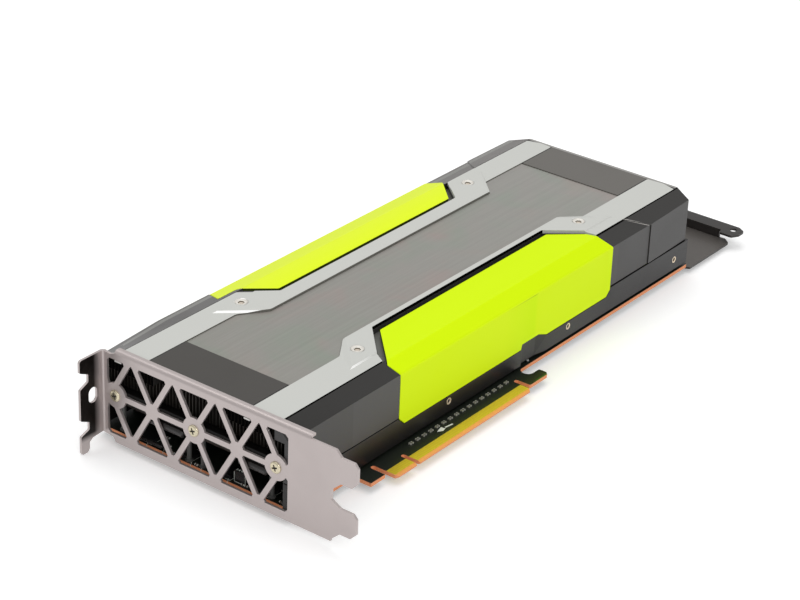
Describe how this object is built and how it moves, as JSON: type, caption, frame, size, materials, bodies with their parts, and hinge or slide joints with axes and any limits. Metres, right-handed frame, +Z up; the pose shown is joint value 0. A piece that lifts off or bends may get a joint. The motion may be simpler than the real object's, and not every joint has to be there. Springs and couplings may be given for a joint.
{
  "type": "passive accelerator card",
  "caption": "Dual-slot passively cooled accelerator card with a lattice bracket, faceted dark shroud, silver rails, bright side covers, fin stack, edge connector and tail extender.",
  "frame": {"origin": "centre of the bounding box in X and Y, at the lowest point of the bracket's tab", "axes": "+X from the bracket to the tail, +Y from the edge connector to the opposite side, +Z up from the back plate to the shroud's top"},
  "size_m": [0.3204, 0.1252, 0.0411],
  "materials": {
    "board_resin": "satin black solder resist",
    "gold_contact": "gold plated",
    "chip_ceramic": "matt",
    "bracket_steel": "satin plated sheet steel",
    "screw_steel": "nickel plated",
    "black_casting": "fine matt black",
    "insert_steel": "plain",
    "sink_copper": "blackened copper",
    "fin_metal": "black anodised",
    "pedestal_copper": "bare copper",
    "package_substrate": "satin",
    "silicon": "polished silicon",
    "memory_silicon": "satin",
    "choke_ferrite": "matt",
    "chip_plastic": "matt",
    "pad_silicone": "matt",
    "capacitor_can": "satin",
    "socket_plastic": "matt",
    "shroud_paint": "fine matt dark grey",
    "rail_silver": "satin silver",
    "brushed_panel": "brushed warm grey",
    "dark_plate": "satin dark grey",
    "cover_paint": "satin yellow-green",
    "film": "matt",
    "back_sheet": "fine matt black"
  },
  "bodies": {
    "root": {"board": "board_resin", "edge_contacts": "gold_contact", "coupling_capacitors": "chip_ceramic", "io_bracket": "bracket_steel", "bracket_screws": "screw_steel", "front_crossbar": "black_casting", "base_plate": "black_casting", "side_inserts": "insert_steel", "vapour_chamber": "sink_copper", "cooling_fins": "fin_metal", "copper_pedestal": "pedestal_copper", "gpu_package": "package_substrate", "gpu_die": "silicon", "memory_stacks": "memory_silicon", "power_chokes": "choke_ferrite", "power_switches": "chip_plastic", "thermal_pads": "pad_silicone", "polymer_capacitors": "capacitor_can", "board_chips": "chip_plastic", "power_socket": "socket_plastic", "power_pins": "gold_contact", "shroud": "shroud_paint", "low_rail": "rail_silver", "high_rail": "rail_silver", "rail_screws": "screw_steel", "centre_panel": "brushed_panel", "front_plate": "dark_plate", "rear_plate": "dark_plate", "low_cover": "cover_paint", "high_cover": "cover_paint", "insulating_film": "film", "back_plate": "back_sheet", "tail_extender": "back_sheet", "back_screws": "screw_steel", "sink_screws": "screw_steel"}
  },
  "joints": []
}
